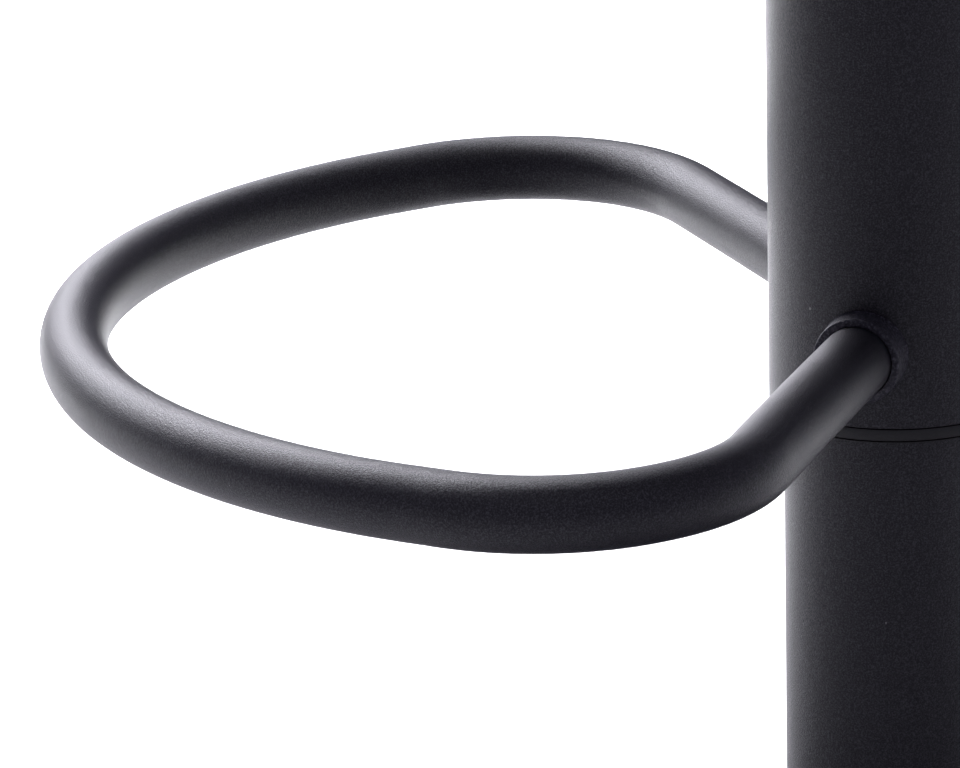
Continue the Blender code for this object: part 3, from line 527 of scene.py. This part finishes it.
def plywood(name):
    material, tree, shader = new_finish(name, specular=0.35)
    figure = noise(tree, 0.012, detail=5.0, stretch=(0.12, 1.0, 1.0))
    plies = noise(tree, 0.0014, detail=0.0, stretch=(0.01, 0.01, 1.0))
    color = mix(tree, ramp(tree, figure, 0.35, 0.65), (0.52, 0.35, 0.19), (0.66, 0.49, 0.30))
    color = mix(tree, ramp(tree, plies, 0.5, 0.6, 0.0, 0.5), color, (0.30, 0.19, 0.10))
    tree.links.new(color, shader.inputs["Base Color"])
    tree.links.new(ramp(tree, figure, 0.3, 0.7, 0.55, 0.72), shader.inputs["Roughness"])
    tree.links.new(bump(tree, figure, 0.0002, 0.4), shader.inputs["Normal"])
    return material


def dust_cloth(name):
    """Spun-bonded cloth: a dimpled, hairy black sheet."""
    material, tree, shader = new_finish(name, specular=0.15)
    place = tree.nodes.new("ShaderNodeTexCoord")
    dimples = tree.nodes.new("ShaderNodeTexVoronoi")
    dimples.inputs["Scale"].default_value = 1 / 0.0016
    tree.links.new(place.outputs["Object"], dimples.inputs["Vector"])
    fibres = noise(tree, 0.0009, detail=4.0)
    color = mix(tree, ramp(tree, fibres, 0.35, 0.7), (0.014, 0.014, 0.015), (0.034, 0.034, 0.036))
    tree.links.new(color, shader.inputs["Base Color"])
    tree.links.new(ramp(tree, fibres, 0.3, 0.7, 0.85, 0.98), shader.inputs["Roughness"])
    rough = bump(tree, fibres, 0.0002, 0.5)
    tree.links.new(bump(tree, dimples.outputs["Distance"], 0.0003, 0.6, rough), shader.inputs["Normal"])
    return material


finish_bare(plywood("birch_plywood"), "seat_board")
finish_bare(dust_cloth("dust_cloth"), "seat_dust_cloth")
for number in range(1, 5):
    finish_bare(zinc_plate, f"seat_screw_{number}", f"seat_washer_{number}", f"tee_nut_{number}")

# ---- Seat pad ------------------------------------------------------------------------
# A foam pad in soft faux leather. The top panel is stitched through to the foam
# along straight channels, and the foam pushes up between them and out at the sides.
CELL = 0.0048
SEAT_CORNER = 0.088
SEAM_INSET = 0.0045
CHANNELS = 5
CHANNEL_PITCH = 0.058
CHANNEL_DEPTH = 0.0060
CROWN = 0.0060
SIDE_BULGE = 0.0035
SIDE_ROWS = 11
PUFF_FRAMES = 20
PUFF_LIMIT = 0.009

cover_low, cover_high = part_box("seat_cover")
board_low, board_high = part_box("seat_board")
seat_half_x = cover_high.x
seat_half_y = cover_high.y
pad_bottom = board_high.z + 0.0006
pad_shoulder = cover_high.z - 0.0155


def channel_lines():
    return [CHANNEL_PITCH * (k - (CHANNELS - 1) / 2) for k in range(CHANNELS)]


def leather(name):
    """Embossed faux leather: pebbled grain, soft creases and a low sheen."""
    material, tree, shader = new_finish(name, specular=0.45)
    place = tree.nodes.new("ShaderNodeTexCoord")
    wander = noise(tree, 0.003, detail=2.0)
    pebbles = tree.nodes.new("ShaderNodeTexVoronoi")
    pebbles.feature = "DISTANCE_TO_EDGE"
    pebbles.inputs["Scale"].default_value = 1 / 0.0013
    tree.links.new(place.outputs["Object"], pebbles.inputs["Vector"])
    grain = ramp(tree, pebbles.outputs["Distance"], 0.0, 0.25)
    creases = noise(tree, 0.014, detail=4.0, rough=0.6)
    color = mix(tree, ramp(tree, grain, 0.0, 0.6), (0.007, 0.007, 0.007), (0.0165, 0.016, 0.0165))
    color = mix(tree, ramp(tree, wander, 0.55, 0.8, 0.0, 0.5), color, (0.024, 0.0235, 0.024))
    tree.links.new(color, shader.inputs["Base Color"])
    tree.links.new(ramp(tree, creases, 0.35, 0.65, 0.38, 0.50), shader.inputs["Roughness"])
    soft = bump(tree, creases, 0.0012, 0.35)
    tree.links.new(bump(tree, grain, 0.00022, 0.55, soft), shader.inputs["Normal"])
    return material


faux_leather = leather("black_faux_leather")


def half_width(y, inset=0.0):
    """Half the seat's width at a distance in front of or behind its middle."""
    corner = SEAT_CORNER - inset
    straight = seat_half_y - inset - corner
    beyond = max(abs(y) - straight, 0.0)
    reach = math.sqrt(max(corner ** 2 - beyond ** 2, 0.0))
    return seat_half_x - inset - corner + reach


def seat_grid(inset):
    """Rows of (x, y) across the seat's rounded square, closer together at its ends."""
    rows = round(2 * seat_half_y / CELL)
    columns = round(2 * seat_half_x / CELL)
    grid = []
    for j in range(rows + 1):
        share = -1.0 + 2.0 * j / rows
        y = (seat_half_y - inset) * share
        width = half_width(y, inset)
        grid.append([(width * (-1.0 + 2.0 * i / columns), y) for i in range(columns + 1)])
    return grid


def crown(x, y):
    """How far the foam's top stands above its shoulder before it is stitched."""
    u, v = abs(x) / seat_half_x, abs(y) / seat_half_y
    edge = 1.0 - max(u, v) ** 6 * 0.6 - (u * v) ** 3 * 0.4
    return CROWN * (1.0 - 0.5 * (u * u + v * v)) + 0.006 * edge


def pad_shape():
    """The pad before it swells, with the points that stay sewn or rest on the board."""
    bm = bmesh.new()
    sewn = bm.verts.layers.float.new("sewn")
    top = []
    for row in seat_grid(SEAM_INSET):
        line_row = []
        for x, y in row:
            gap = min(abs(y - c) for c in channel_lines())
            dent = math.exp(-(gap / 0.004) ** 2)
            reach = half_width(y, SEAM_INSET)
            near_edge = min((reach - abs(x)) / 0.018, 1.0)
            z = pad_shoulder + crown(x, y) - CHANNEL_DEPTH * dent * near_edge
            vert = bm.verts.new((x, y, z))
            vert[sewn] = 1.0 if dent > 0.55 else 0.0
            line_row.append(vert)
        top.append(line_row)
    for here, after in zip(top, top[1:]):
        for i in range(len(here) - 1):
            bm.faces.new((here[i], here[i + 1], after[i + 1], after[i]))
    border = (top[0][:-1] + [row[-1] for row in top[:-1]]
              + top[-1][:0:-1] + [row[0] for row in top[:0:-1]])
    for vert in border:
        vert[sewn] = 1.0
    above = border
    for level in range(1, SIDE_ROWS + 1):
        share = level / SIDE_ROWS
        bow = math.sin(math.pi * share)
        below = []
        for vert in border:
            scale_x = 1.0 + (SIDE_BULGE * bow - 0.0010 * share) / seat_half_x
            scale_y = 1.0 + (SIDE_BULGE * bow - 0.0010 * share) / seat_half_y
            new = bm.verts.new((vert.co.x * scale_x, vert.co.y * scale_y,
                                vert.co.z + (pad_bottom - vert.co.z) * share))
            new[sewn] = 1.0 if level == SIDE_ROWS else 0.0
            below.append(new)
        for i in range(len(border)):
            j = (i + 1) % len(border)
            bm.faces.new((above[i], above[j], below[j], below[i]))
        above = below
    return close_below(bm, sewn, top, border, above)


def close_below(bm, sewn, top, border, rim):
    """Close the pad's underside with rows that match the rows of its top."""
    edge = dict(zip(border, rim))
    under = []
    for row in top:
        line_row = []
        for vert in row:
            new = edge.get(vert)
            if new is None:
                new = bm.verts.new((vert.co.x, vert.co.y, pad_bottom))
                new[sewn] = 1.0
            line_row.append(new)
        under.append(line_row)
    for here, after in zip(under, under[1:]):
        for i in range(len(here) - 1):
            bm.faces.new((here[i], after[i], after[i + 1], here[i + 1]))
    return bm


def swell(piece, limit):
    """Let the foam's pressure push the cover out between its seams, up to a limit."""
    mesh = piece.data
    before = [v.co.copy() for v in mesh.vertices]
    group = piece.vertex_groups.new(name="sewn")
    for i, value in enumerate(mesh.attributes["sewn"].data):
        if value.value > 0.5:
            group.add([i], 1.0, "ADD")
    cloth = piece.modifiers.new("swell", "CLOTH")
    settings = cloth.settings
    settings.quality = 5
    settings.mass = 0.3
    settings.tension_stiffness = 12.0
    settings.compression_stiffness = 12.0
    settings.shear_stiffness = 4.0
    settings.bending_stiffness = 0.4
    settings.use_pressure = True
    settings.uniform_pressure_force = 5.0
    settings.shrink_min = -0.035
    settings.vertex_group_mass = "sewn"
    settings.effector_weights.gravity = 0.0
    cloth.collision_settings.use_collision = False
    scene = bpy.context.scene
    scene.frame_start = 1
    for number in range(1, PUFF_FRAMES + 1):
        scene.frame_set(number)
    shaped = piece.evaluated_get(bpy.context.evaluated_depsgraph_get()).to_mesh()
    after = [v.co.copy() for v in shaped.vertices]
    piece.modifiers.remove(cloth)
    scene.frame_set(1)
    for vert, old, new in zip(mesh.vertices, before, after):
        move = new - old
        if move.length > limit:
            move *= limit / move.length
        vert.co = old + move


pad = as_piece("seat_pad", pad_shape(), faux_leather, "upper",
               ("seat_cover", "seat_foam"))
swell(pad, PUFF_LIMIT)
pad.data.set_sharp_from_angle(angle=math.pi)
smooth = pad.modifiers.new("round", "SUBSURF")
smooth.levels = smooth.render_levels = 1

# ---- Channel stitches ---------------------------------------------------------------------
# Thick black polyester thread is locked down along the bottom of each channel,
# six millimetres to the stitch, and stops short of the top seam.
STITCH_PITCH = 0.006
STITCH_LENGTH = 0.0042
THREAD_RADIUS = 0.00042


def thread(name):
    """Twisted thread: fine slanting strands with a slight sheen."""
    material, tree, shader = new_finish(name, specular=0.35)
    strands = noise(tree, 0.0003, detail=2.0, stretch=(0.4, 1.0, 1.0))
    color = mix(tree, ramp(tree, strands, 0.35, 0.65), (0.018, 0.018, 0.019), (0.045, 0.044, 0.046))
    tree.links.new(color, shader.inputs["Base Color"])
    tree.links.new(ramp(tree, strands, 0.3, 0.7, 0.5, 0.65), shader.inputs["Roughness"])
    tree.links.new(bump(tree, strands, 0.0001, 0.6), shader.inputs["Normal"])
    return material


def stitch(bm, start, end, sides=8):
    """One short length of thread that dips into the leather at both ends."""
    along = (end - start).normalized()
    across = along.cross(Vector((0, 0, 1))).normalized()
    up = across.cross(along)
    rings = []
    for share, size, rise in ((0.0, 0.45, -0.0006), (0.12, 0.9, 0.0), (0.5, 1.0, 0.0002),
                              (0.88, 0.9, 0.0), (1.0, 0.45, -0.0006)):
        middle = start.lerp(end, share) + up * rise
        rings.append([bm.verts.new(middle + THREAD_RADIUS * size * (
            across * math.cos(2 * math.pi * k / sides) + up * math.sin(2 * math.pi * k / sides)))
            for k in range(sides)])
    for here, after in zip(rings, rings[1:]):
        for k in range(sides):
            m = (k + 1) % sides
            bm.faces.new((here[k], here[m], after[m], after[k]))
    bm.faces.new(rings[0][::-1])
    bm.faces.new(rings[-1])


def stitches():
    surface = BVHTree.FromObject(pad, bpy.context.evaluated_depsgraph_get())
    bm = bmesh.new()
    for y in channel_lines():
        reach = half_width(y, SEAM_INSET) - 0.014
        count = int(2 * reach / STITCH_PITCH)
        for k in range(count):
            x = (k + 0.5 - count / 2) * STITCH_PITCH
            ends = []
            for side in (-0.5, 0.5):
                place = Vector((x + side * STITCH_LENGTH, y, 1.0))
                hit = surface.ray_cast(place, Vector((0, 0, -1)))[0]
                ends.append(hit + Vector((0, 0, THREAD_RADIUS * 0.4)))
            stitch(bm, *ends)
    return bm


as_piece("channel_stitches", stitches(), thread("black_thread"), "upper")

# ---- Piping ----------------------------------------------------------------------------
# A cord covered in the same faux leather is sewn into the seam round the top panel,
# and another into the seam where the pad meets the border.
PIPING_RADIUS = 0.0026
PIPING_INSET = 0.0030


def seam_ring(inset, height, count=360):
    """Points round the seat at even steps, each with the height the seam has there."""
    corner = SEAT_CORNER - inset
    points = []
    for quarter in range(4):
        side_x = 1 if quarter in (0, 3) else -1
        side_y = 1 if quarter in (0, 1) else -1
        for k in range(24):
            angle = math.pi / 2 * (quarter + k / 24)
            x = side_x * (seat_half_x - inset - corner) + corner * math.cos(angle)
            y = side_y * (seat_half_y - inset - corner) + corner * math.sin(angle)
            points.append(Vector((x, y, 0.0)))
    total = sum((points[i] - points[i - 1]).length for i in range(len(points)))
    ring = []
    step = total / count
    travelled, target = 0.0, 0.0
    for i in range(len(points)):
        start, end = points[i], points[(i + 1) % len(points)]
        length = (end - start).length
        while target < travelled + length - 1e-9 and len(ring) < count:
            point = start.lerp(end, (target - travelled) / length)
            ring.append(Vector((point.x, point.y, height(point.x, point.y))))
            target += step
        travelled += length
    return ring


def cord_round(ring, radius, sides=14):
    """A closed cord that follows a ring of points."""
    bm = bmesh.new()
    loops = []
    count = len(ring)
    for i, point in enumerate(ring):
        along = (ring[(i + 1) % count] - ring[i - 1]).normalized()
        out = along.cross(Vector((0, 0, 1))).normalized()
        up = out.cross(along)
        loops.append([bm.verts.new(point + radius * (out * math.cos(2 * math.pi * k / sides)
                                                     + up * math.sin(2 * math.pi * k / sides)))
                      for k in range(sides)])
    for i, here in enumerate(loops):
        after = loops[(i + 1) % count]
        for k in range(sides):
            m = (k + 1) % sides
            bm.faces.new((here[k], here[m], after[m], after[k]))
    return bm


def top_seam(x, y):
    return pad_shoulder + crown(x, y) - 0.0002


border_top = board_high.z + 0.0008
as_piece("piping_top", cord_round(seam_ring(PIPING_INSET, top_seam), PIPING_RADIUS),
         faux_leather, "upper")
low_seam = seam_ring(PIPING_INSET, lambda x, y: border_top + 0.0004)
as_piece("piping_bottom", cord_round(low_seam, PIPING_RADIUS), faux_leather, "upper")

# ---- Border ------------------------------------------------------------------------------
# The cover's lower strip is pulled down over the board's edge, turned in under it
# and stapled there, which puckers it a little at the corners.
BORDER_STEPS = 480
FOLD_START = 0.0080
FOLD_WIDTH = 0.019
fold_end = FOLD_START + FOLD_WIDTH - 0.004
fold_low = cover_low.z


def border_section(pucker):
    """(inset, height) round the strip's closed section."""
    outside = [(0.0022, border_top), (0.0012 + pucker, border_top - 0.004),
               (0.0016 + pucker, board_low.z + 0.005), (0.0028, fold_low + 0.0016),
               (0.0050, fold_low + 0.0002), (FOLD_START, fold_low), (fold_end, fold_low)]
    inside = [(fold_end, fold_low + 0.0010), (0.0085, fold_low + 0.0011),
              (0.0052, board_low.z + 0.0002), (0.0051, board_low.z + 0.005),
              (0.0050, border_top - 0.004), (0.0050, border_top)]
    return outside + inside


def border_strip():
    bm = bmesh.new()
    base_ring = seam_ring(0.0, lambda x, y: 0.0, BORDER_STEPS)
    columns = []
    rng = random.Random(7)
    phases = [rng.uniform(0, 2 * math.pi) for _ in range(3)]
    for i, point in enumerate(base_ring):
        along = (base_ring[(i + 1) % BORDER_STEPS] - base_ring[i - 1]).normalized()
        inward = Vector((0, 0, 1)).cross(along).normalized()
        turn = 2 * math.pi * i / BORDER_STEPS
        corner = min(abs(point.x) / seat_half_x, 1) * min(abs(point.y) / seat_half_y, 1)
        waves = math.sin(90 * turn + phases[0]) + math.sin(61 * turn + phases[1])
        pucker = 0.0006 * corner ** 4 * waves
        columns.append([bm.verts.new(point + inward * inset + Vector((0, 0, z)))
                        for inset, z in border_section(pucker)])
    for i, here in enumerate(columns):
        after = columns[(i + 1) % len(columns)]
        for k in range(len(here)):
            m = (k + 1) % len(here)
            bm.faces.new((here[k], here[m], after[m], after[k]))
    return bm


border = as_piece("seat_border", border_strip(), faux_leather, "upper")
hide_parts("seat_cover")

# ---- Stage ---------------------------------------------------------------------------------
# A flat pale floor with one broad light over its far side, a smaller one from the
# sitter's front right, a faint one overhead, and a long lens above the footrest.
floor_mesh = bpy.data.meshes.new("floor")
floor_bm = bmesh.new()
bmesh.ops.create_grid(floor_bm, x_segments=2, y_segments=2, size=6.0)
floor_bm.to_mesh(floor_mesh)
floor_bm.free()
floor = bpy.data.objects.new("floor", floor_mesh)
bpy.context.scene.collection.objects.link(floor)
floor.location.z = -0.0002
floor_finish, floor_tree, floor_shader = new_finish("pale_floor", specular=0.2)
floor_tone = mix(floor_tree, ramp(floor_tree, noise(floor_tree, 0.5), 0.3, 0.7), (0.82, 0.82, 0.82),
                 (0.84, 0.84, 0.84))
floor_tree.links.new(floor_tone, floor_shader.inputs["Base Color"])
floor_shader.inputs["Roughness"].default_value = 0.9
floor_mesh.materials.append(floor_finish)

world = bpy.data.worlds.new("studio")
bpy.context.scene.world = world
world.use_nodes = True
world.node_tree.nodes["Background"].inputs["Color"].default_value = (0.80, 0.77, 1.0, 1.0)
world.node_tree.nodes["Background"].inputs["Strength"].default_value = 0.23


def soft_light(name, place, aim, width, height, watts, tint):
    light = bpy.data.lights.new(name, "AREA")
    light.shape = "RECTANGLE"
    light.size = width
    light.size_y = height
    light.energy = watts
    light.color = tint
    lamp = bpy.data.objects.new(name, light)
    lamp.location = place
    lamp.rotation_euler = (Vector(aim) - Vector(place)).to_track_quat("-Z", "Y").to_euler()
    bpy.context.scene.collection.objects.link(lamp)
    return lamp


backdrop = soft_light("backdrop_light", (-1.6, 0.0, 1.6), (-1.6, 0.0, 0.0), 1.9, 2.8, 72.0,
                      (0.98, 0.98, 1.0))
backdrop.data.spread = math.radians(60)
soft_light("highlight_light", (-1.5, -0.85, 1.2), (0.0, -0.1, 0.25), 1.2, 0.8, 62.0, (0.93, 0.92, 1.0))
soft_light("top_light", (0.5, -0.3, 2.6), (0.2, 0.0, 0.0), 1.8, 1.8, 11.0, (0.90, 0.88, 1.0))

camera_data = bpy.data.cameras.new("camera")
camera_data.lens = 202.94
camera_data.sensor_width = 36.0
camera_data.clip_start = 0.05
camera = bpy.data.objects.new("camera", camera_data)
camera.location = (1.39161, -0.13952, 0.66435)
camera.rotation_euler = (math.radians(72.784), math.radians(1.419), math.radians(88.427))
bpy.context.scene.collection.objects.link(camera)
bpy.context.scene.camera = camera
bpy.context.scene.view_settings.view_transform = "Standard"
